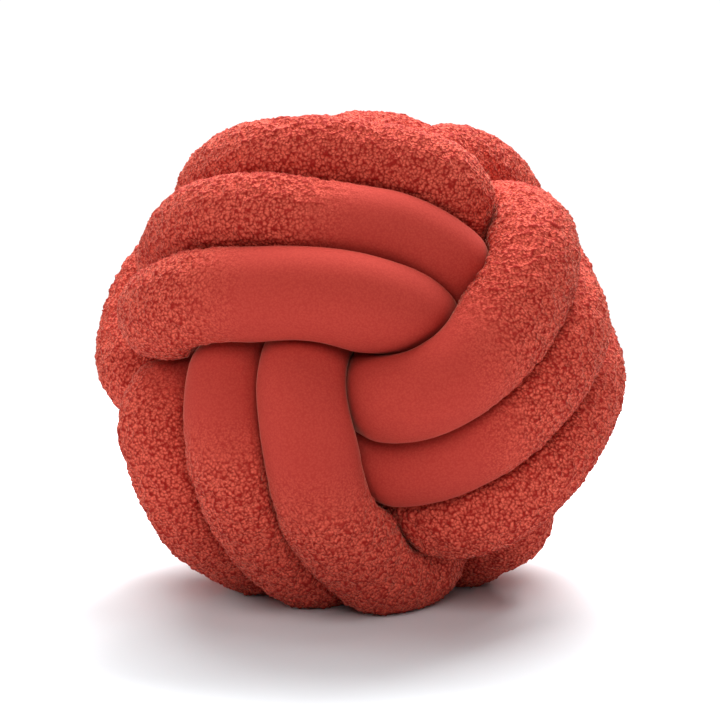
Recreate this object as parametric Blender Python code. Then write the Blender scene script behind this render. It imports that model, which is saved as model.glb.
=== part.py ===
"""A knot cushion: one long stuffed tube of curly fleece, wound into a ball of three groups of three turns.

Each group passes over one neighbour and under the other, as in a monkey's fist. The tube's two ends are
joined inside the ball, so it is one closed loop. The path of its middle starts from a formula, and is then
drawn tight and pressed together as the real tube is. Metres, +Z up, the side of the photograph facing -Y.
"""

import math

import bpy
import numpy as np

# The ball and the tube it is wound from
BALL_WIDTH = 0.301
BALL_HEIGHT = 0.284  # before it is laid down
SQUARENESS = 2.15  # 2 for an even round; a ball of three square groups is a little squarer
BALL_MIDDLE = 0.1335  # the height of its middle above the floor, once its lowest strands are flattened
FLOOR_PRESS = 0.008  # how far they are flattened
TUBE_RADIUS = 0.0254  # where nothing presses on the tube
STRAND_PITCH = 0.045  # between the middles of two strands that press on each other
STRAND_GAP = 0.0026  # left between their covers, so that the flat faces of this plain tube stay clear

# How the ball lies: the corner where its three groups meet faces the viewer, a little upwards
VIEW_DISTANCE = 1.15
VIEW_RISE = math.radians(7)
KNOT_ROLL = math.radians(33)

# The winding that the path starts from, before it is drawn tight
TURNS = 3
POINTS_PER_TURN = 34
LOOP_LONG = 0.121  # half the length of a loop, where it passes over its neighbours
LOOP_SHORT = 0.074  # half its width, where it passes under them
LOOP_ROUNDING = 0.133  # the ball's radius that the loops' sizes are cut to
HIDDEN_GAP = 0.35  # radians left at the hidden side for the step from one group to the next
STEP_SHARE = 0.14  # of a turn, for the step from one turn to the next

# Drawing the path tight, in steps that each move it a share of the way
FREE_STEPS = 40  # before the ball's size, the floor and the strands' places hold it
HELD_STEPS = 300
TENSION = 0.12
STIFFNESS = 0.25
PUSHES = 3  # in each step, between strands that are too near
OWN_POINTS = 3  # points this near along the tube don't push each other
HOLD = 0.5  # back into the ball, or up to the floor
SETTLE = 0.3  # down to the floor
SETTLE_RANGE = 0.012  # from this near above it
FRONT_PULL = 0.35  # towards the places in STRANDS
BACK_PULL = 0.175
FRONT_DEPTH = -0.03  # only where a strand in front is nearer to the viewer than this
BACK_DEPTH = 0.03  # and one behind is further away than this
END_REACH = 0.079  # the two ends of a strand's place pull at what is this near to them
END_SHARES = {-2: 0.28, -1: 0.6, 0: 0.8, 1: 0.6, 2: 0.28}  # the nearest point and those beside it

# The cushion's mesh
SECTIONS = 344
SIDES = 16
FINER = 4  # the places looked at for what presses there are this many times closer
PRESS_REACH = 0.0635  # a strand whose middle is further away than this presses nowhere
ROUNDING = 12  # the higher, the sharper the turn from a pressed flat to a free round

FLEECE_COLOUR = "#B34137"

# Where the middle of each strand runs, in mm across and up from the ball's middle, as the viewer sees it.
# A strand is named by its group, its place there (1 is nearest to the corner where the groups meet, -1 is
# furthest from it) and the side of the ball that it is on.
STRANDS = {
    ("top", 1, "front"): [(-107, 14), (-107, 24), (-95, 28), (-71, 29), (-34, 28), (0, 27), (36, 23)],
    ("top", 0, "front"): [
        (-96, 52), (-95, 64), (-86, 71), (-68, 76),
        (-34, 75), (0, 68), (33, 55), (60, 40),
    ],
    ("top", -1, "front"): [
        (-82, 89), (-78, 101), (-68, 111), (-49, 117),
        (-20, 118), (8, 113), (39, 94), (60, 74),
    ],
    ("left", 1, "front"): [
        (-32, -14), (-28, -45), (-22, -70), (-13, -93),
        (1, -108), (17, -113), (42, -104),
    ],
    ("left", 0, "front"): [
        (-73, -15), (-71, -45), (-67, -73), (-57, -95),
        (-42, -109), (-27, -115), (-9, -113),
    ],
    ("left", -1, "front"): [(-108, -17), (-107, -50), (-105, -75), (-99, -93), (-85, -106), (-53, -107)],
    ("right", 1, "front"): [
        (20, -20), (32, -20), (53, -14), (77, 5), (90, 29),
        (91, 49), (89, 63), (82, 71), (73, 73),
    ],
    ("right", 0, "front"): [
        (26, -56), (41, -54), (67, -45), (91, -22),
        (105, 3), (106, 28), (101, 49), (92, 62),
    ],
    ("right", -1, "front"): [
        (36, -90), (58, -83), (84, -73), (105, -51),
        (117, -28), (119, -8), (114, 12), (105, 28),
    ],
    ("left", 1, "back"): [(36, 99), (59, 102), (71, 98), (81, 88), (86, 74)],
    ("left", 0, "back"): [(-9, 105), (14, 110), (33, 105), (45, 96)],
    ("left", -1, "back"): [(-43, 113), (-23, 118), (-6, 113)],
    ("right", 1, "back"): [(-111, 57), (-124, 34), (-126, 15), (-124, -5), (-114, -25)],
    ("right", 0, "back"): [(-104, 15), (-105, -10), (-101, -35), (-92, -60)],
    ("top", 1, "back"): [(101, -67), (95, -81), (83, -94), (67, -103), (50, -104)],
}
ROUTE_SPACING = 0.0017  # between the points that a strand's place is read at


def view_axes():
    """Across, up and towards the viewer."""
    near = np.array([0.0, -math.cos(VIEW_RISE), math.sin(VIEW_RISE)])
    across = np.array([1.0, 0.0, 0.0])
    return across, np.cross(near, across), near


def knot_axes():
    """The knot's three square axes, leaning equally away from the corner that faces the viewer."""
    across, up, near = view_axes()
    lean = math.acos(1 / math.sqrt(3))
    axes = []
    for turned in (-30, 210, 90):
        angle = math.radians(turned) + KNOT_ROLL
        sideways = math.cos(angle) * across + math.sin(angle) * up
        axes.append(math.cos(lean) * near + math.sin(lean) * sideways)
    return axes


def seen(points):
    """Where points appear at the scale of the ball's middle, their depth in front of it and their scale."""
    across, up, near = view_axes()
    depth = points @ near
    scale = VIEW_DISTANCE / (VIEW_DISTANCE - depth)
    return np.stack([points @ across, points @ up], axis=1) * scale[:, None], depth, scale


def between(points, share, closed=True):
    """Points of the smooth curve through others, that share of the way from each one to the next."""
    if closed:
        before, after, second = np.roll(points, 1, 0), np.roll(points, -1, 0), np.roll(points, -2, 0)
    else:
        ends = np.vstack([2 * points[0] - points[1], points, 2 * points[-1] - points[-2]])
        before, points, after, second = ends[:-3], ends[1:-2], ends[2:-1], ends[3:]
    bend = 2 * before - 5 * points + 4 * after - second
    twist = 3 * points - before - 3 * after + second
    return points + 0.5 * ((after - before) * share + bend * share**2 + twist * share**3)


def start_path():
    """The wound path and each point's strand. A group's turns step along at its hidden side."""
    u, v, w = knot_axes()
    angle = np.linspace(
        math.pi + HIDDEN_GAP, (2 * TURNS + 1) * math.pi - HIDDEN_GAP, TURNS * POINTS_PER_TURN, endpoint=False
    )
    turn = (angle - math.pi) / (2 * math.pi)
    whole = np.round(turn)
    ramp = np.clip((turn - whole) / STEP_SHARE, -0.5, 0.5)
    place = np.clip(whole - 0.5 + np.sin(ramp * math.pi) / 2, 0, TURNS - 1) - 1
    offset = place * STRAND_PITCH
    shrink = np.sqrt(1 - (offset / LOOP_ROUNDING) ** 2)
    path, names = [], []
    for group, under, along, over in (("top", u, v, w), ("left", w, u, v), ("right", v, w, u)):
        loop = np.outer(LOOP_SHORT * np.cos(angle) * shrink, under)
        loop += np.outer(LOOP_LONG * np.sin(angle) * shrink, over)
        path.append(loop + np.outer(offset, along))
        side = np.where(np.sin(angle) > 0, "front", "back")
        names += [(group, int(round(p)), str(s)) for p, s in zip(place, side)]
    return np.vstack(path), names


def places_of(names):
    """For each strand that shows: its points' numbers, where it runs, and whether it is in front."""
    found = []
    for name, corners in STRANDS.items():
        corners = np.array(corners) / 1000
        count = int(np.linalg.norm(np.diff(corners, axis=0), axis=1).max() / ROUTE_SPACING)
        shares = np.linspace(0, 1, count, endpoint=False)
        line = np.stack([between(corners, share, closed=False) for share in shares], axis=1).reshape(-1, 2)
        members = np.array([i for i, other in enumerate(names) if other == name])
        found.append((members, np.vstack([line, corners[-1:]]), name[2] == "front"))
    return found


def draw_to_places(path, wanted):
    """Moves the strands that show towards where the photograph shows them, square to the line of sight."""
    across, up, _ = view_axes()
    for members, line, front in wanted:
        place, depth, scale = seen(path[members])
        shows = depth > FRONT_DEPTH if front else depth < BACK_DEPTH
        pull = FRONT_PULL if front else BACK_PULL
        away = np.linalg.norm(place[:, None] - line[None], axis=2)
        nearest = away.argmin(axis=1)
        inside = shows & (nearest > 0) & (nearest < len(line) - 1)
        move = (line[nearest] - place) * np.where(inside, pull, 0)[:, None]
        for end in (0, len(line) - 1):
            reach = np.where(shows, away[:, end], np.inf)
            first = int(reach.argmin())
            if reach[first] < END_REACH:
                for beside, share in END_SHARES.items():
                    if 0 <= first + beside < len(members):
                        move[first + beside] += (line[end] - place[first]) * pull * share
        move /= scale[:, None]
        path[members] += np.outer(move[:, 0], across) + np.outer(move[:, 1], up)


def push_apart(path):
    """Strands whose middles are too near push each other away, as two stuffed tubes do."""
    number = np.arange(len(path))
    along = np.abs(number[:, None] - number)
    other = np.minimum(along, len(path) - along) > OWN_POINTS
    for _ in range(PUSHES):
        away = path[:, None] - path[None]
        distance = np.sqrt((away**2).sum(axis=2)) + 1e-12
        push = np.where(other, np.maximum(STRAND_PITCH - distance, 0), 0)
        move = (away * (push / distance)[..., None]).sum(axis=1)
        move /= 2 * np.sqrt(np.maximum((push > 0).sum(axis=1), 1))[:, None]
        path += (np.roll(move, 1, 0) + 2 * move + np.roll(move, -1, 0)) / 4


def hold_in_ball(path):
    """The outer strands stay inside the ball, and the lowest of them settle on the surface it lies on."""
    half = np.array([BALL_WIDTH, BALL_WIDTH, BALL_HEIGHT]) / 2 - TUBE_RADIUS
    out = np.linalg.norm(path / half, ord=SQUARENESS, axis=1)
    path -= path * (HOLD * np.maximum(out - 1, 0) / out)[:, None]
    above = path[:, 2] + BALL_MIDDLE + FLOOR_PRESS - TUBE_RADIUS
    path[:, 2] -= above * np.where(above < 0, HOLD, np.where(above < SETTLE_RANGE, SETTLE, 0))


def bend_of(path):
    """From each point to halfway between the two beside it."""
    return (np.roll(path, 1, 0) + np.roll(path, -1, 0)) / 2 - path


def space_out(path):
    """Slides the points along the tube until they are the same distance apart."""
    ahead = np.roll(path, -1, 0) - np.roll(path, 1, 0)
    ahead /= np.linalg.norm(ahead, axis=1, keepdims=True)
    path += ahead * (bend_of(path) * ahead).sum(axis=1, keepdims=True)


def tightened(path, names):
    """The path drawn tight, kept from kinking and pressed together until the strands fill the ball."""
    wanted = places_of(names)
    for step in range(FREE_STEPS + HELD_STEPS):
        path += TENSION * bend_of(path)
        path -= STIFFNESS * bend_of(bend_of(path))
        if step >= FREE_STEPS:
            draw_to_places(path, wanted)
        push_apart(path)
        space_out(path)
        if step >= FREE_STEPS:
            hold_in_ball(path)
    return path


def evenly_spaced(path, count):
    """That many points of the smooth closed curve through the path, the same distance apart."""
    shares = np.linspace(0, 1, 8, endpoint=False)
    fine = np.stack([between(path, share) for share in shares], axis=1).reshape(-1, 3)
    closed = np.vstack([fine, fine[:1]])
    along = np.concatenate([[0], np.cumsum(np.linalg.norm(np.diff(closed, axis=0), axis=1))])
    at = np.linspace(0, along[-1], count, endpoint=False)
    return np.stack([np.interp(at, along, closed[:, axis]) for axis in range(3)], axis=1)


def round_tube(path):
    """A closed round tube along the path, as a mesh whose vertices go round section by section."""
    curve = bpy.data.curves.new("tube_path", "CURVE")
    curve.dimensions = "3D"
    curve.bevel_depth = TUBE_RADIUS
    curve.bevel_resolution = SIDES // 2 - 2
    spline = curve.splines.new("POLY")
    spline.points.add(len(path) - 1)
    spline.points.foreach_set("co", np.hstack([path, np.ones((len(path), 1))]).ravel())
    spline.use_cyclic_u = True
    guide = bpy.data.objects.new("tube_path", curve)
    mesh = bpy.data.meshes.new_from_object(guide)
    bpy.data.objects.remove(guide)
    bpy.data.curves.remove(curve)
    return mesh


def pressed(places, sections):
    """The tube's skin where its own other strands and the floor press it flat.

    Along each line from a section's middle, the skin ends at the free radius, or halfway to the middle of
    whatever strand lies in its way, or at the floor.
    """
    count = len(sections)
    middles = evenly_spaced(sections, count * FINER)
    out = places.reshape(count, SIDES, 3) - sections[:, None]
    out /= np.linalg.norm(out, axis=2, keepdims=True)
    radius = np.full((count, SIDES), TUBE_RADIUS)
    for i, (middle, ways) in enumerate(zip(sections, out)):
        others = np.delete(middles, i * FINER, axis=0) - middle
        others = others[np.linalg.norm(others, axis=1) < PRESS_REACH]
        facing = np.maximum(ways @ others.T, 1e-9)
        halfway = ((others**2).sum(axis=1) / (2 * facing)).min(axis=1) - STRAND_GAP / 2
        radius[i] = (TUBE_RADIUS**-ROUNDING + halfway**-ROUNDING) ** (-1 / ROUNDING)
        radius[i] = np.minimum(radius[i], middle[2] / np.maximum(-ways[:, 2], 1e-9))
    return (sections[:, None] + out * radius[..., None]).reshape(-1, 3)


def material(name, colour, roughness):
    """A Principled material from an sRGB hex colour."""
    parts = [int(colour[i : i + 2], 16) / 255 for i in (1, 3, 5)]
    linear = [p / 12.92 if p <= 0.04045 else ((p + 0.055) / 1.055) ** 2.4 for p in parts]
    made = bpy.data.materials.new(name)
    made.use_nodes = True
    shader = made.node_tree.nodes["Principled BSDF"]
    shader.inputs["Base Color"].default_value = (*linear, 1)
    shader.inputs["Roughness"].default_value = roughness
    shader.inputs["Metallic"].default_value = 0
    made.diffuse_color = (*linear, 1)
    return made


def knot_tube():
    """The whole cushion: the tube wound, pressed, and stood with its lowest strands flat on Z = 0."""
    path, names = start_path()
    sections = evenly_spaced(tightened(path, names), SECTIONS)
    sections -= (sections.min(axis=0) + sections.max(axis=0)) / 2
    sections[:, 2] += TUBE_RADIUS - FLOOR_PRESS - sections[:, 2].min()
    mesh = round_tube(sections)
    mesh.name = "knot_tube"
    places = np.empty(len(mesh.vertices) * 3)
    mesh.vertices.foreach_get("co", places)
    places = pressed(places.reshape(-1, 3), sections)
    mesh.vertices.foreach_set("co", places.ravel())
    mesh.shade_smooth()
    mesh.materials.clear()
    mesh.materials.append(material("teddy_fleece", FLEECE_COLOUR, 0.9))
    return bpy.data.objects.new("knot_tube", mesh)


for old in list(bpy.data.objects):
    bpy.data.objects.remove(old)
cushion = bpy.data.collections.new("knot_cushion")
bpy.context.scene.collection.children.link(cushion)
cushion.objects.link(knot_tube())
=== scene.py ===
# %% [markdown]
# # A knot cushion in teddy fleece
# The real cushion is one long tube of curly fleece, stuffed along its whole length and wound into a ball:
# three groups of three turns, each group passing over one neighbour and under the other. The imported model
# gives its size and place. Here the same tube is made again much finer, turn by turn, so that its cover can
# have a real curly pile, pressed creases and the smooth patch that the photograph shows in front.

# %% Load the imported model
import math

import bmesh
import bpy
import numpy as np
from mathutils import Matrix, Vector


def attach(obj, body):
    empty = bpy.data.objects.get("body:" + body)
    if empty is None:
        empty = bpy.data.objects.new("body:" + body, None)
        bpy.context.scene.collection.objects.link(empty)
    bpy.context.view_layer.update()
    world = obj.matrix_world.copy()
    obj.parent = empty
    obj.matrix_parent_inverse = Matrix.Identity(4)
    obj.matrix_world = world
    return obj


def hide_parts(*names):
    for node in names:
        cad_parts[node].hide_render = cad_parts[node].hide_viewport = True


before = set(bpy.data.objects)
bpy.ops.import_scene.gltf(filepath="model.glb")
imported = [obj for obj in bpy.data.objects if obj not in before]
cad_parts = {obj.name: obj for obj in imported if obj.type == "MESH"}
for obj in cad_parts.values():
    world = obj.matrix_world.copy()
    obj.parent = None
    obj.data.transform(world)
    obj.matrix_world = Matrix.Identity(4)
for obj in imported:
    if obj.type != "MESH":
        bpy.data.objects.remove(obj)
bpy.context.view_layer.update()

# %% [markdown]
# ## The way the ball lies
# The corner where the three groups meet faces the viewer, a little upwards. Three directions describe every
# place as the viewer sees it: across, up, and near, which points from the ball's middle to the viewer's eye.

# %% Across, up and near
BALL_WIDTH = 0.301
BALL_HEIGHT = 0.284  # before it is laid down
SQUARENESS = 2.15  # 2 for an even round; the ball is a little squarer
BALL_MIDDLE = 0.1335  # the height of its middle above the floor, once its lowest strands are flattened
FLOOR_PRESS = 0.008  # how far they are flattened
VIEW_DISTANCE = 1.15
VIEW_RISE = math.radians(7)
KNOT_ROLL = math.radians(33)

NEAR = np.array([0.0, -math.cos(VIEW_RISE), math.sin(VIEW_RISE)])
ACROSS = np.array([1.0, 0.0, 0.0])
UP = np.cross(NEAR, ACROSS)


def seen(points):
    """Where points appear at the scale of the ball's middle, their depth in front of it and their scale."""
    depth = points @ NEAR
    scale = VIEW_DISTANCE / (VIEW_DISTANCE - depth)
    return np.stack([points @ ACROSS, points @ UP], axis=1) * scale[:, None], depth, scale


print("up:", UP.round(3), "near:", NEAR.round(3))

# %% [markdown]
# ## Winding the path
# A monkey's fist is wound from three sets of loops, square to each other. Each loop is an ellipse: long where
# it passes over its neighbours and short where it passes under them. A group's turns step along at the hidden
# side, where the real tube also crosses over to its next turn.

# %% The path before it is drawn tight
STRAND_PITCH = 0.045  # between the middles of two strands that press on each other
TURNS = 3
POINTS_PER_TURN = 34
LOOP_LONG = 0.121
LOOP_SHORT = 0.074
LOOP_ROUNDING = 0.133
HIDDEN_GAP = 0.35
STEP_SHARE = 0.14


def knot_axes():
    """The knot's three square axes, leaning equally away from the corner that faces the viewer."""
    lean = math.acos(1 / math.sqrt(3))
    axes = []
    for turned in (-30, 210, 90):
        angle = math.radians(turned) + KNOT_ROLL
        sideways = math.cos(angle) * ACROSS + math.sin(angle) * UP
        axes.append(math.cos(lean) * NEAR + math.sin(lean) * sideways)
    return axes


def start_path():
    """The wound path and each point's strand: its group, its place there, and the side that it is on."""
    u, v, w = knot_axes()
    angle = np.linspace(
        math.pi + HIDDEN_GAP, (2 * TURNS + 1) * math.pi - HIDDEN_GAP, TURNS * POINTS_PER_TURN, endpoint=False
    )
    turn = (angle - math.pi) / (2 * math.pi)
    whole = np.round(turn)
    ramp = np.clip((turn - whole) / STEP_SHARE, -0.5, 0.5)
    place = np.clip(whole - 0.5 + np.sin(ramp * math.pi) / 2, 0, TURNS - 1) - 1
    offset = place * STRAND_PITCH
    shrink = np.sqrt(1 - (offset / LOOP_ROUNDING) ** 2)
    path, names = [], []
    for group, under, along, over in (("top", u, v, w), ("left", w, u, v), ("right", v, w, u)):
        loop = np.outer(LOOP_SHORT * np.cos(angle) * shrink, under)
        loop += np.outer(LOOP_LONG * np.sin(angle) * shrink, over)
        path.append(loop + np.outer(offset, along))
        side = np.where(np.sin(angle) > 0, "front", "back")
        names += [(group, int(round(p)), str(s)) for p, s in zip(place, side)]
    return np.vstack(path), names


wound, strand_names = start_path()
print("points on the wound path:", len(wound))

# %% [markdown]
# ## Where the strands run
# The real ball isn't even: its turns lie as they were pulled. The table gives, for each strand that shows, a
# few places that its middle passes, in mm across and up from the ball's middle. A smooth curve through them
# is what the strand is drawn to.

# %% Places of the strands, and a smooth curve through points
STRANDS = {
    ("top", 1, "front"): [(-107, 14), (-107, 24), (-95, 28), (-71, 29), (-34, 28), (0, 27), (36, 23)],
    ("top", 0, "front"): [
        (-96, 52), (-95, 64), (-86, 71), (-68, 76),
        (-34, 75), (0, 68), (33, 55), (60, 40),
    ],
    ("top", -1, "front"): [
        (-82, 89), (-78, 101), (-68, 111), (-49, 117),
        (-20, 118), (8, 113), (39, 94), (60, 74),
    ],
    ("left", 1, "front"): [
        (-32, -14), (-28, -45), (-22, -70), (-13, -93),
        (1, -108), (17, -113), (42, -104),
    ],
    ("left", 0, "front"): [
        (-73, -15), (-71, -45), (-67, -73), (-57, -95),
        (-42, -109), (-27, -115), (-9, -113),
    ],
    ("left", -1, "front"): [(-108, -17), (-107, -50), (-105, -75), (-99, -93), (-85, -106), (-53, -107)],
    ("right", 1, "front"): [
        (20, -20), (32, -20), (53, -14), (77, 5), (90, 29),
        (91, 49), (89, 63), (82, 71), (73, 73),
    ],
    ("right", 0, "front"): [
        (26, -56), (41, -54), (67, -45), (91, -22),
        (105, 3), (106, 28), (101, 49), (92, 62),
    ],
    ("right", -1, "front"): [
        (36, -90), (58, -83), (84, -73), (105, -51),
        (117, -28), (119, -8), (114, 12), (105, 28),
    ],
    ("left", 1, "back"): [(36, 99), (59, 102), (71, 98), (81, 88), (86, 74)],
    ("left", 0, "back"): [(-9, 105), (14, 110), (33, 105), (45, 96)],
    ("left", -1, "back"): [(-43, 113), (-23, 118), (-6, 113)],
    ("right", 1, "back"): [(-111, 57), (-124, 34), (-126, 15), (-124, -5), (-114, -25)],
    ("right", 0, "back"): [(-104, 15), (-105, -10), (-101, -35), (-92, -60)],
    ("top", 1, "back"): [(101, -67), (95, -81), (83, -94), (67, -103), (50, -104)],
}
ROUTE_SPACING = 0.0017


def between(points, share, closed=True):
    """Points of the smooth curve through others, that share of the way from each one to the next."""
    if closed:
        before, after, second = np.roll(points, 1, 0), np.roll(points, -1, 0), np.roll(points, -2, 0)
    else:
        ends = np.vstack([2 * points[0] - points[1], points, 2 * points[-1] - points[-2]])
        before, points, after, second = ends[:-3], ends[1:-2], ends[2:-1], ends[3:]
    bend = 2 * before - 5 * points + 4 * after - second
    twist = 3 * points - before - 3 * after + second
    return points + 0.5 * ((after - before) * share + bend * share**2 + twist * share**3)


def places_of(names):
    """For each strand that shows: its points' numbers, where it runs, and whether it is in front."""
    found = []
    for name, corners in STRANDS.items():
        corners = np.array(corners) / 1000
        count = int(np.linalg.norm(np.diff(corners, axis=0), axis=1).max() / ROUTE_SPACING)
        shares = np.linspace(0, 1, count, endpoint=False)
        line = np.stack([between(corners, share, closed=False) for share in shares], axis=1).reshape(-1, 2)
        members = np.array([i for i, other in enumerate(names) if other == name])
        found.append((members, np.vstack([line, corners[-1:]]), name[2] == "front"))
    return found


print("strands with a place:", len(places_of(strand_names)))

# %% [markdown]
# ## Drawing the path tight
# The winding is tightened in small steps. In each one the path shortens a little, resists bending, is drawn
# towards the strands' places, and every two strands that are too near push each other away. Last, the outer
# strands are held inside the ball and the lowest settle on the floor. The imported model's path was drawn with
# the same steps and numbers, so the fine tube lies exactly where that solid is.

# %% The steps of tightening
FREE_STEPS = 40
HELD_STEPS = 300
TENSION = 0.12
STIFFNESS = 0.25
PUSHES = 3
OWN_POINTS = 3
HOLD = 0.5
SETTLE = 0.3
SETTLE_RANGE = 0.012
FRONT_PULL = 0.35
BACK_PULL = 0.175
FRONT_DEPTH = -0.03
BACK_DEPTH = 0.03
END_REACH = 0.079
END_SHARES = {-2: 0.28, -1: 0.6, 0: 0.8, 1: 0.6, 2: 0.28}
TUBE_RADIUS = 0.0254  # where nothing presses on the tube


def draw_to_places(path, wanted):
    """Moves the strands that show towards their places, square to the line of sight."""
    for members, line, front in wanted:
        place, depth, scale = seen(path[members])
        shows = depth > FRONT_DEPTH if front else depth < BACK_DEPTH
        pull = FRONT_PULL if front else BACK_PULL
        away = np.linalg.norm(place[:, None] - line[None], axis=2)
        nearest = away.argmin(axis=1)
        inside = shows & (nearest > 0) & (nearest < len(line) - 1)
        move = (line[nearest] - place) * np.where(inside, pull, 0)[:, None]
        for end in (0, len(line) - 1):
            reach = np.where(shows, away[:, end], np.inf)
            first = int(reach.argmin())
            if reach[first] < END_REACH:
                for beside, share in END_SHARES.items():
                    if 0 <= first + beside < len(members):
                        move[first + beside] += (line[end] - place[first]) * pull * share
        move /= scale[:, None]
        path[members] += np.outer(move[:, 0], ACROSS) + np.outer(move[:, 1], UP)


def push_apart(path):
    """Strands whose middles are too near push each other away, as two stuffed tubes do."""
    number = np.arange(len(path))
    along = np.abs(number[:, None] - number)
    other = np.minimum(along, len(path) - along) > OWN_POINTS
    for _ in range(PUSHES):
        away = path[:, None] - path[None]
        distance = np.sqrt((away**2).sum(axis=2)) + 1e-12
        push = np.where(other, np.maximum(STRAND_PITCH - distance, 0), 0)
        move = (away * (push / distance)[..., None]).sum(axis=1)
        move /= 2 * np.sqrt(np.maximum((push > 0).sum(axis=1), 1))[:, None]
        path += (np.roll(move, 1, 0) + 2 * move + np.roll(move, -1, 0)) / 4


def hold_in_ball(path):
    """The outer strands stay inside the ball, and the lowest of them settle on the floor."""
    half = np.array([BALL_WIDTH, BALL_WIDTH, BALL_HEIGHT]) / 2 - TUBE_RADIUS
    out = np.linalg.norm(path / half, ord=SQUARENESS, axis=1)
    path -= path * (HOLD * np.maximum(out - 1, 0) / out)[:, None]
    above = path[:, 2] + BALL_MIDDLE + FLOOR_PRESS - TUBE_RADIUS
    path[:, 2] -= above * np.where(above < 0, HOLD, np.where(above < SETTLE_RANGE, SETTLE, 0))


# %% Tighten the path
def bend_of(path):
    """From each point to halfway between the two beside it."""
    return (np.roll(path, 1, 0) + np.roll(path, -1, 0)) / 2 - path


def space_out(path):
    """Slides the points along the tube until they are the same distance apart."""
    ahead = np.roll(path, -1, 0) - np.roll(path, 1, 0)
    ahead /= np.linalg.norm(ahead, axis=1, keepdims=True)
    path += ahead * (bend_of(path) * ahead).sum(axis=1, keepdims=True)


def tightened(path, names):
    """The path drawn tight and pressed together until the strands fill the ball."""
    wanted = places_of(names)
    for step in range(FREE_STEPS + HELD_STEPS):
        path += TENSION * bend_of(path)
        path -= STIFFNESS * bend_of(bend_of(path))
        if step >= FREE_STEPS:
            draw_to_places(path, wanted)
        push_apart(path)
        space_out(path)
        if step >= FREE_STEPS:
            hold_in_ball(path)
    return path


tight = tightened(wound, strand_names)
turn_length = np.linalg.norm(np.diff(tight, axis=0, append=tight[:1]), axis=1).sum()
print(f"tube's length: {turn_length:.3f} m")

# %% [markdown]
# ## Sections along the tube
# A fine mesh is only worth its faces where it shows. So the sections stand close together where the tube runs
# in the ball's outer layer and far apart where it runs under the others. Each section remembers how deep it
# is buried, which turn it belongs to, and which way is outwards from the ball.

# %% Place the sections
MODEL_SECTIONS = 344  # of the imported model, whose box also sets where the ball stands
FINER = 4
LINE_POINTS = 6600
SHOWN_STEP = 0.00118
HIDDEN_STEP = 0.0060
SHOWN_DEPTH = 0.028  # under the ball's outer layer
HIDDEN_DEPTH = 0.040


def evenly_spaced(path, count):
    """That many points of the smooth closed curve through the path, the same distance apart."""
    shares = np.linspace(0, 1, 8, endpoint=False)
    fine = np.stack([between(path, share) for share in shares], axis=1).reshape(-1, 3)
    closed = np.vstack([fine, fine[:1]])
    along = np.concatenate([[0], np.cumsum(np.linalg.norm(np.diff(closed, axis=0), axis=1))])
    at = np.linspace(0, along[-1], count, endpoint=False)
    return np.stack([np.interp(at, along, closed[:, axis]) for axis in range(3)], axis=1)


def smooth_step(value, low, high):
    """0 below low, 1 above high, and a smooth rise between them."""
    share = np.clip((value - low) / (high - low), 0, 1)
    return share * share * (3 - 2 * share)


model_sections = evenly_spaced(tight, MODEL_SECTIONS)
stand = -(model_sections.min(axis=0) + model_sections.max(axis=0)) / 2
stand[2] = TUBE_RADIUS - FLOOR_PRESS - model_sections[:, 2].min()
ball_middle = stand  # the path's middle is at 0, 0, 0
model_sections = model_sections + stand
presses = evenly_spaced(model_sections, MODEL_SECTIONS * FINER)  # what presses on the tube

line = evenly_spaced(model_sections, LINE_POINTS)
outer_layer = np.array([BALL_WIDTH, BALL_WIDTH, BALL_HEIGHT]) / 2 - TUBE_RADIUS
layer_share = np.linalg.norm((line - ball_middle) / outer_layer, axis=1)
buried = np.linalg.norm(line - ball_middle, axis=1) * (1 / layer_share - 1)
step_wanted = SHOWN_STEP + (HIDDEN_STEP - SHOWN_STEP) * smooth_step(buried, SHOWN_DEPTH, HIDDEN_DEPTH)

steps_done = np.concatenate([[0], np.cumsum(turn_length / len(line) / step_wanted)])
section_count = round(float(steps_done[-1]))
even_steps = np.linspace(0, steps_done[-1], section_count, endpoint=False)
section_at = np.interp(even_steps, steps_done, range(len(line) + 1))
closed_line = np.vstack([line, line[:1]])
line_places = range(len(closed_line))
sections = np.stack([np.interp(section_at, line_places, closed_line[:, k]) for k in range(3)], axis=1)
section_buried = np.interp(section_at, range(len(line)), buried)
print("sections:", section_count)

# %% Cut the tube into its nine turns, each where it is buried deepest
PLACES = ("outer", "middle", "inner")
TURN_NAMES = [f"{group}_{place}" for group in ("top", "left", "right") for place in PLACES]
CUT_REACH = 0.18  # of a turn, on each side of the step from the turn before


def cut_places():
    """The section that each turn starts at."""
    turn_at = section_at / len(line) * len(TURN_NAMES)
    found = []
    for turn in range(len(TURN_NAMES)):
        away = (turn_at - turn + len(TURN_NAMES) / 2) % len(TURN_NAMES) - len(TURN_NAMES) / 2
        candidates = np.flatnonzero(np.abs(away) < CUT_REACH)
        found.append(int(candidates[section_buried[candidates].argmax()]))
    return found


cuts = cut_places()
print("turns start at sections", cuts, "buried", (1000 * section_buried[cuts]).round(), "mm deep")

# %% [markdown]
# ## Which way is round
# Each section gets its own ring of sides. They are closer together on the side that faces out of the ball,
# because that is the side that is seen. Two directions square to the tube give the ring its places: outwards
# from the ball, and sideways.

# %% The rings' directions
SIDES = 102
OUTER_SHARE = 0.72  # the lower, the closer the sides that face outwards
WRAP = 7


def ahead_of(points):
    """The direction of the tube at each section."""
    ahead = np.roll(points, -1, 0) - np.roll(points, 1, 0)
    return ahead / np.linalg.norm(ahead, axis=1, keepdims=True)


def square_to(ways, ahead):
    """The ways with their part along the tube taken off, of length 1."""
    ways = ways - ahead * (ways * ahead).sum(axis=1, keepdims=True)
    return ways / np.linalg.norm(ways, axis=1, keepdims=True)


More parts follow.
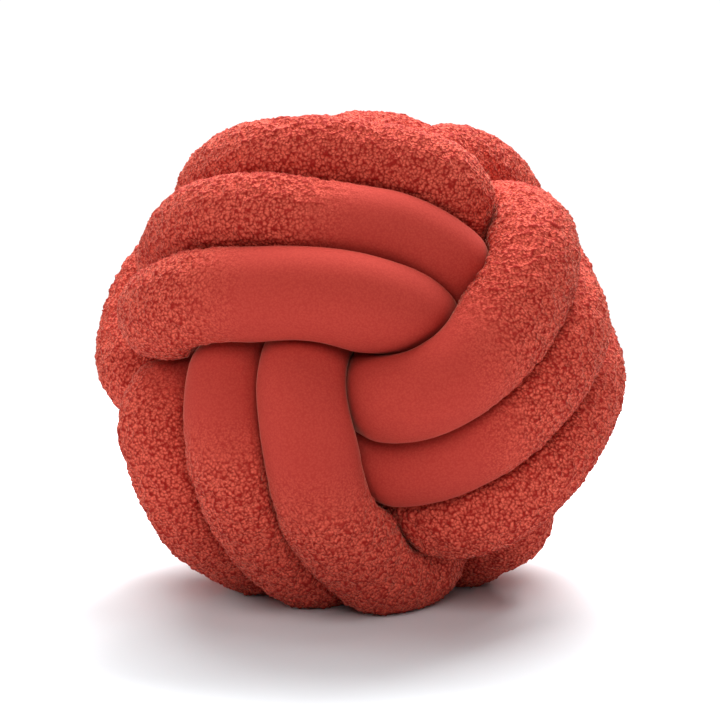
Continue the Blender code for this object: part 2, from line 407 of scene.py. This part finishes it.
ahead = ahead_of(sections)
outwards = square_to(sections - ball_middle, ahead)
sideways = np.cross(outwards, ahead)
side_share = np.linspace(-1, 1, SIDES, endpoint=False)
side_angle = math.pi * (OUTER_SHARE * side_share + (1 - OUTER_SHARE) * side_share**WRAP)
side_mm = 1000 * TUBE_RADIUS * np.diff(side_angle)
print("between sides:", side_mm.min().round(2), "to", side_mm.max().round(2), "mm")

# %% [markdown]
# ## Pressing the strands flat
# Two stuffed tubes that press on each other meet in a flat face halfway between their middles, and keep
# their round backs. So each side of a ring ends at the tube's free radius, or halfway to whatever strand lies
# in its way, or at the floor, whichever comes first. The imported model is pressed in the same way, with wider
# gaps.

# %% How far each side reaches
STRAND_GAP = 0.0006
PRESS_REACH = 0.0635
OWN_REACH = 0.0036
ROUNDING = 12  # the higher, the sharper the turn from a pressed flat to a free round


def reach_of_sides():
    """Each side's way from the tube's middle, how far it reaches, and how far halfway to its neighbour is."""
    ways = outwards[:, None] * np.cos(side_angle)[:, None] + sideways[:, None] * np.sin(side_angle)[:, None]
    halfway = np.empty(ways.shape[:2])
    for i, middle in enumerate(sections):
        others = presses - middle
        distance = np.linalg.norm(others, axis=1)
        others = others[(distance < PRESS_REACH) & (distance > OWN_REACH)]
        facing = np.maximum(ways[i] @ others.T, 1e-9)
        halfway[i] = ((others**2).sum(axis=1) / (2 * facing)).min(axis=1)
    halfway = halfway - STRAND_GAP / 2
    reach = (TUBE_RADIUS**-ROUNDING + halfway**-ROUNDING) ** (-1 / ROUNDING)
    floor_reach = sections[:, 2:] / np.maximum(-ways[..., 2], 1e-9)
    return ways, np.minimum(reach, floor_reach), np.minimum(halfway, floor_reach)


ways, reach, halfway = reach_of_sides()
skin = sections[:, None] + ways * reach[..., None]
print("reach in mm:", (1000 * np.percentile(reach, [0, 25, 50, 75, 100])).round(1))
print("share of sides pressed:", (halfway < TUBE_RADIUS).mean().round(2))

# %% [markdown]
# ## Where the pile is worn smooth
# Teddy fleece has a curly pile a few millimetres deep. Where the groups of turns meet in front, the cover of
# the real cushion is flat and even, and the curls come in gradually around that patch. The table gives the
# middle and the radius of the smooth patch on each turn, and every point of the skin gets its share of the
# pile's full height from it.

# %% The pile's height over the skin
SMOOTH_PATCHES = {  # mm across and up from the ball's middle, and mm of radius
    "top_inner": (-6, 29, 58),
    "top_middle": (36, 60, 40),
    "left_inner": (-29, -11, 52),
    "left_middle": (-77, 12, 42),
    "left_outer": (-96, 6, 2),
    "right_inner": (11, -22, 49),
    "right_middle": (11, -61, 53),
}
PATCH_FADE = 0.045
PATCH_DEPTH = 0.03  # in front of the ball's middle; the pile comes in again behind it
PILE_DEPTH = 0.0032
LEAST_ROOM = 0.2


def pile_of(name, places):
    """1 where the pile has its full height and 0 where it is smooth, at places on one turn's skin."""
    if name not in SMOOTH_PATCHES:
        return np.ones(len(places))
    across, up, radius = (value / 1000 for value in SMOOTH_PATCHES[name])
    place, depth, _ = seen(places - ball_middle)
    away = np.linalg.norm(place - (across, up), axis=1) + np.maximum(PATCH_DEPTH - depth, 0)
    return smooth_step(away, radius, radius + PATCH_FADE)


def room_of(halfway, reach):
    """How much of the pile's height there is room for, before it meets the next strand's pile."""
    return np.clip((halfway - reach) / PILE_DEPTH, LEAST_ROOM, 1)


# %% [markdown]
# ## The nine turns as meshes
# A curve with a round profile makes the tube: Blender sweeps the profile along the curve and closes its ends.
# That gives the faces; then each of its points is moved to its place on the pressed skin.

# %% Sweep each turn, and move its points to the skin
def round_profile():
    """A circle with as many points as a ring has sides."""
    circle = bpy.data.curves.new("ring", "CURVE")
    circle.dimensions = "2D"
    spline = circle.splines.new("POLY")
    spline.points.add(SIDES - 1)
    turn = np.linspace(0, 2 * math.pi, SIDES, endpoint=False)
    flat = np.zeros(SIDES)
    corners = np.stack([TUBE_RADIUS * np.cos(turn), TUBE_RADIUS * np.sin(turn), flat, flat + 1], axis=1)
    spline.points.foreach_set("co", corners.ravel())
    spline.use_cyclic_u = True
    return bpy.data.objects.new("ring", circle)


def swept(name, middles, profile):
    """The profile swept along the middles: its points go round, section by section."""
    curve = bpy.data.curves.new(name, "CURVE")
    curve.dimensions = "3D"
    curve.bevel_mode = "OBJECT"
    curve.bevel_object = profile
    spline = curve.splines.new("POLY")
    spline.points.add(len(middles) - 1)
    spline.points.foreach_set("co", np.hstack([middles, np.ones((len(middles), 1))]).ravel())
    guide = bpy.data.objects.new(name, curve)
    bpy.context.scene.collection.objects.link(guide)
    mesh = bpy.data.meshes.new_from_object(guide.evaluated_get(bpy.context.evaluated_depsgraph_get()))
    bpy.data.objects.remove(guide)
    bpy.data.curves.remove(curve)
    mesh.name = name
    return mesh


def close_ends(mesh):
    """Each open end gets a face, deep inside the ball where the next turn carries on."""
    work = bmesh.new()
    work.from_mesh(mesh)
    bmesh.ops.holes_fill(work, edges=[edge for edge in work.edges if edge.is_boundary], sides=0)
    work.to_mesh(mesh)
    work.free()


def give(mesh, name, values):
    """Stores one number for each of the mesh's points."""
    mesh.attributes.new(name, "FLOAT", "POINT").data.foreach_set("value", values.astype(np.float32).ravel())


ring = round_profile()
bpy.context.scene.collection.objects.link(ring)
turns = []
for number, name in enumerate(TURN_NAMES):
    first, last = cuts[number], cuts[(number + 1) % len(cuts)]
    last += section_count if last < first else 0
    numbers = np.arange(first, last + 1) % section_count
    mesh = swept(name, sections[numbers], ring)
    mesh.vertices.foreach_set("co", skin[numbers].ravel())
    give(mesh, "pile", pile_of(name, skin[numbers].reshape(-1, 3)))
    give(mesh, "room", room_of(halfway[numbers], reach[numbers]))
    close_ends(mesh)
    mesh.shade_smooth()
    turn = bpy.data.objects.new(name, mesh)
    bpy.context.scene.collection.objects.link(turn)
    turns.append(turn)
bpy.data.objects.remove(ring)
print("turns:", len(turns), "points:", sum(len(turn.data.vertices) for turn in turns))

# %% [markdown]
# ## The curls
# Teddy fleece is a knit whose pile is curled into small round granules, here a little under 2 mm wide. One
# pattern describes them for the shape and for the colour, where it paints shade in the gaps and highlights
# on the tops: round cells, pushed about by a noise so that no two are alike. Towards the smooth patch the
# curls are shorter and tighter, which the same pattern gives once more at a smaller width.

# %% One function that adds a node, and the pattern of curls
CURL = 0.0016
SHORT_CURL = 0.0011
SWAY_SCALE = 0.6  # of the noise that pushes the curls about, in curls
SWAY = 1.1  # how far it pushes them, in curls
CURL_TOP = 0.15  # where a curl starts to fall off, in curls from its middle
CURL_FOOT = 0.85  # where it ends
LOWEST_CURL = 0.7  # height of the lowest curls, as a share of the highest


def add(tree, kind, settings=None, links=None):
    """Adds a node. Settings are its properties or its sockets' values; links are what its sockets read."""
    node = tree.nodes.new(kind)
    for key, value in (settings or {}).items():
        if isinstance(key, str) and hasattr(node, key):
            setattr(node, key, value)
        else:
            node.inputs[key].default_value = value
    for key, source in (links or {}).items():
        tree.links.new(source, node.inputs[key])
    return node


def curls(tree, place, width):
    """How high curls of that width stand at a place: 1 on their tops and 0 in the gaps between them."""
    noise = {"Scale": SWAY_SCALE / width, "Detail": 1.0}
    sway = add(tree, "ShaderNodeTexNoise", noise, {"Vector": place}).outputs["Color"]
    scaled = {"operation": "SCALE", "Scale": SWAY * width}
    sway = add(tree, "ShaderNodeVectorMath", scaled, {0: sway}).outputs[0]
    swayed = add(tree, "ShaderNodeVectorMath", {"operation": "ADD"}, {0: place, 1: sway}).outputs[0]
    cell = add(tree, "ShaderNodeTexVoronoi", {"Scale": 1 / width}, {"Vector": swayed})
    falling = {"From Min": CURL_TOP, "From Max": CURL_FOOT, "To Min": 1.0, "To Max": 0.0}
    dome = add(
        tree, "ShaderNodeMapRange",
        {"interpolation_type": "SMOOTHSTEP", **falling}, {"Value": cell.outputs["Distance"]},
    ).outputs[0]
    red = {"operation": "DOT_PRODUCT", 1: (1, 0, 0)}
    own = add(tree, "ShaderNodeVectorMath", red, {0: cell.outputs["Color"]}).outputs["Value"]
    own = add(tree, "ShaderNodeMapRange", {"To Min": LOWEST_CURL, "To Max": 1.0}, {"Value": own}).outputs[0]
    return add(tree, "ShaderNodeMath", {"operation": "MULTIPLY"}, {0: dome, 1: own}).outputs[0]


# %% [markdown]
# ## Relief
# The relief is real shape, so that the outline is curly too: Geometry Nodes sinks the skin between the curls
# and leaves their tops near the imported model's surface. The curls lie in clumps, which make the outline
# uneven by about a millimetre, and the soft lumps of the stuffing do the same more slowly along the tube.
# The place that each point had before is stored, and the colour's pattern reads it, so that both agree.

# %% The relief as Geometry Nodes
CURL_DEPTH = 0.0018  # from a curl's top down to the gaps
CLUMP = 0.0055  # between the clumps that the curls lie in
CLUMP_SWING = 0.0036  # times a noise that runs from about -0.3 to 0.3
LUMP = 0.055  # between the soft lumps of the stuffing
LUMP_SWING = 0.0024
LUMP_ZERO = 0.6  # the noise's value that leaves the skin where it is


def curly_pile():
    """The node group that gives the skin its curls, their clumps and the soft lumps."""
    tree = bpy.data.node_groups.new("curly_pile", "GeometryNodeTree")
    tree.interface.new_socket("Geometry", in_out="INPUT", socket_type="NodeSocketGeometry")
    tree.interface.new_socket("Geometry", in_out="OUTPUT", socket_type="NodeSocketGeometry")
    start = add(tree, "NodeGroupInput")
    place = add(tree, "GeometryNodeInputPosition").outputs[0]
    normal = add(tree, "GeometryNodeInputNormal").outputs[0]
    named = {"data_type": "FLOAT"}
    pile = add(tree, "GeometryNodeInputNamedAttribute", {**named, "Name": "pile"}).outputs["Attribute"]
    room = add(tree, "GeometryNodeInputNamedAttribute", {**named, "Name": "room"}).outputs["Attribute"]
    curl = curls(tree, place, CURL)
    below = add(tree, "ShaderNodeMath", {"operation": "SUBTRACT", 1: 1.0}, {0: curl}).outputs[0]
    below = add(tree, "ShaderNodeMath", {"operation": "MULTIPLY", 1: CURL_DEPTH}, {0: below}).outputs[0]
    clump = add(tree, "ShaderNodeTexNoise", {"Scale": 1 / CLUMP, "Detail": 1.0}, {"Vector": place}).outputs[0]
    clump = add(tree, "ShaderNodeMath", {"operation": "SUBTRACT", 1: 0.5}, {0: clump}).outputs[0]
    swing = {"operation": "MULTIPLY_ADD", 1: CLUMP_SWING}
    below = add(tree, "ShaderNodeMath", swing, {0: clump, 2: below}).outputs[0]
    below = add(tree, "ShaderNodeMath", {"operation": "MULTIPLY"}, {0: below, 1: pile}).outputs[0]
    below = add(tree, "ShaderNodeMath", {"operation": "MULTIPLY"}, {0: below, 1: room}).outputs[0]
    lump = add(tree, "ShaderNodeTexNoise", {"Scale": 1 / LUMP, "Detail": 1.0}, {"Vector": place}).outputs[0]
    lump = add(tree, "ShaderNodeMath", {"operation": "SUBTRACT", 1: LUMP_ZERO}, {0: lump}).outputs[0]
    swing = {"operation": "MULTIPLY_ADD", 1: LUMP_SWING}
    push = add(tree, "ShaderNodeMath", swing, {0: lump, 2: below}).outputs[0]
    push = add(tree, "ShaderNodeVectorMath", {"operation": "SCALE"}, {0: normal, "Scale": push}).outputs[0]
    stored = {"data_type": "FLOAT_VECTOR", "domain": "POINT", "Name": "smooth_place"}
    kept = add(
        tree, "GeometryNodeStoreNamedAttribute", stored, {"Geometry": start.outputs[0], "Value": place}
    ).outputs[0]
    moved = add(tree, "GeometryNodeSetPosition", {}, {"Geometry": kept, "Offset": push}).outputs[0]
    add(tree, "NodeGroupOutput", {}, {0: moved})
    return tree


# %% Give the turns their relief, and keep it above the floor
def keep_above_floor(mesh):
    """Points that a lump has pushed below the floor go back up to it."""
    places = np.empty(len(mesh.vertices) * 3)
    mesh.vertices.foreach_get("co", places)
    places[2::3] = np.maximum(places[2::3], 0)
    mesh.vertices.foreach_set("co", places)


pile_nodes = curly_pile()
for turn in turns:
    turn.modifiers.new("curly pile", "NODES").node_group = pile_nodes
shapes = bpy.context.evaluated_depsgraph_get()
for turn in turns:
    plain, turn.data = turn.data, bpy.data.meshes.new_from_object(turn.evaluated_get(shapes))
    turn.modifiers.clear()
    bpy.data.meshes.remove(plain)
    turn.data.name = turn.name
    keep_above_floor(turn.data)
    print(turn.name, "triangles", sum(len(face.vertices) - 2 for face in turn.data.polygons))

# %% [markdown]
# ## Teddy fleece
# The cover is polyester teddy fleece, dyed coral red. Its fibres are rough and scatter light at grazing
# angles, which is what sheen is for. The curls' tops catch light and look paler, and the gaps between them
# are darker because little light comes out again; the colour paints both in, as painted highlight and shade.

# %% The fleece's material
# painted shade: the gaps between the curls are darkened in the colour
GAP_SHADE_COLOUR = "#971C15"
# painted highlight: the curls' tops are made paler in the colour
TOP_HIGHLIGHT_COLOUR = "#F06853"
WORN_COLOUR = "#B33A30"
SHEEN_COLOUR = "#FFC0A4"
WORN_SHARE = 0.11  # of the pattern's contrast that is left where the pile is worn smooth
BUMP_HEIGHT = 0.0006


def linear(colour):
    """An sRGB hex colour as the linear red, green, blue and alpha that a node takes."""
    parts = [int(colour[i : i + 2], 16) / 255 for i in (1, 3, 5)]
    return (*[p / 12.92 if p <= 0.04045 else ((p + 0.055) / 1.055) ** 2.4 for p in parts], 1)


def teddy_fleece():
    """Coral-red teddy fleece: curls with painted highlights and shade, and a smooth knit where the pile is
    worn.
    """
    made = bpy.data.materials.new("teddy_fleece")
    made.use_nodes = True
    tree = made.node_tree
    shader = tree.nodes["Principled BSDF"]
    shader.inputs["Roughness"].default_value = 0.9
    shader.inputs["Metallic"].default_value = 0
    shader.inputs["IOR"].default_value = 1.5
    shader.inputs["Specular IOR Level"].default_value = 0.15
    shader.inputs["Sheen Weight"].default_value = 0.35
    shader.inputs["Sheen Roughness"].default_value = 0.25
    shader.inputs["Sheen Tint"].default_value = linear(SHEEN_COLOUR)
    place = add(tree, "ShaderNodeAttribute", {"attribute_name": "smooth_place"}).outputs["Vector"]
    pile = add(tree, "ShaderNodeAttribute", {"attribute_name": "pile"}).outputs["Fac"]
    curl = curls(tree, place, CURL)
    short_curl = curls(tree, place, SHORT_CURL)
    high = add(tree, "ShaderNodeMix", {}, {0: pile, 2: short_curl, 3: curl}).outputs[0]
    # The colour paints shade into the gaps between the curls and a highlight onto their tops.
    curl_shade_and_highlight = {"data_type": "RGBA", 6: linear(GAP_SHADE_COLOUR), 7: linear(TOP_HIGHLIGHT_COLOUR)}
    curl_shade_and_highlight = add(tree, "ShaderNodeMix", curl_shade_and_highlight, {0: high}).outputs[2]
    depth = add(tree, "ShaderNodeMapRange", {"To Min": WORN_SHARE, "To Max": 1.0}, {"Value": pile}).outputs[0]
    worn = {"data_type": "RGBA", 6: linear(WORN_COLOUR)}
    colour = add(tree, "ShaderNodeMix", worn, {0: depth, 7: curl_shade_and_highlight}).outputs[2]
    tree.links.new(colour, shader.inputs["Base Color"])
    bump = add(tree, "ShaderNodeBump", {"Distance": BUMP_HEIGHT}, {"Height": high, "Strength": depth})
    tree.links.new(bump.outputs[0], shader.inputs["Normal"])
    return made


fleece = teddy_fleece()
for turn in turns:
    turn.data.materials.clear()
    turn.data.materials.append(fleece)
    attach(turn, "root")
    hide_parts("knot_tube")
print("pieces of fleece:", len(turns))

# %% [markdown]
# ## Floor, light and camera
# A pale studio floor runs back into a white background. Large soft lights hang behind the ball and over it,
# so that its top is bright and its shadow lies soft in front of it. Two more fill from the front and the
# left, and the white surroundings lighten the shadows a little.

# %% Floor
def floor():
    """A wide pale floor at the height that the ball rests on."""
    work = bmesh.new()
    bmesh.ops.create_grid(work, x_segments=1, y_segments=1, size=0.9)
    mesh = bpy.data.meshes.new("floor")
    work.to_mesh(mesh)
    work.free()
    made = bpy.data.materials.new("studio_floor")
    made.use_nodes = True
    shader = made.node_tree.nodes["Principled BSDF"]
    shader.inputs["Base Color"].default_value = linear("#E6EBEE")
    shader.inputs["Roughness"].default_value = 0.9
    shader.inputs["Specular IOR Level"].default_value = 0.2
    mesh.materials.append(made)
    ground = bpy.data.objects.new("floor", mesh)
    bpy.context.scene.collection.objects.link(ground)


floor()

# %% Lights
LIGHTS = {  # place in m, side in m, power in W
    "back_left_light": ((-0.3, 0.8, 1.2), 1.0, 21),
    "back_right_light": ((0.35, 0.7, 1.2), 1.0, 38),
    "top_light": ((-0.1, 0.1, 1.6), 1.2, 10),
    "front_light": ((0.0, -1.8, 1.4), 1.4, 23),
    "left_light": ((-1.6, 0.0, 0.7), 1.2, 8),
}


def soft_light(name, place, side, power):
    """A square white light that shines at the ball."""
    data = bpy.data.lights.new(name, "AREA")
    data.size = side
    data.energy = power
    lamp = bpy.data.objects.new(name, data)
    lamp.location = place
    lamp.rotation_euler = (Vector(ball_middle) - Vector(place)).to_track_quat("-Z", "Y").to_euler()
    bpy.context.scene.collection.objects.link(lamp)


for name, (place, side, power) in LIGHTS.items():
    soft_light(name, place, side, power)
print("lights:", len(LIGHTS))

# %% White surroundings
FILL = 0.07  # how bright the surroundings are as a light
BACKGROUND = 1.05  # how bright the camera sees them

world = bpy.data.worlds.new("studio")
world.use_nodes = True
sky = world.node_tree.nodes["Background"]
sky.inputs["Color"].default_value = (1, 1, 1, 1)
looked_at = add(world.node_tree, "ShaderNodeLightPath").outputs["Is Camera Ray"]
levels = {"To Min": FILL, "To Max": BACKGROUND}
level = add(world.node_tree, "ShaderNodeMapRange", levels, {"Value": looked_at})
world.node_tree.links.new(level.outputs[0], sky.inputs["Strength"])
bpy.context.scene.world = world
bpy.context.scene.view_settings.view_transform = "Standard"

# %% Camera
PIXELS = 720
PIXEL = 0.000580  # of the picture, in m at the ball's middle
AIM_DROP = 2.5  # pixels from the ball's middle down to the picture's
SENSOR = 36.0
lens = bpy.data.cameras.new("camera")
lens.sensor_width = SENSOR
lens.lens = SENSOR * VIEW_DISTANCE / (PIXEL * PIXELS)
lens.clip_start = 0.05
camera = bpy.data.objects.new("camera", lens)
aim = ball_middle - UP * AIM_DROP * PIXEL
camera.location = aim + NEAR * VIEW_DISTANCE
camera.rotation_euler = Vector(NEAR).to_track_quat("Z", "Y").to_euler()
bpy.context.scene.collection.objects.link(camera)
bpy.context.scene.camera = camera
print("lens:", round(lens.lens, 1), "mm")
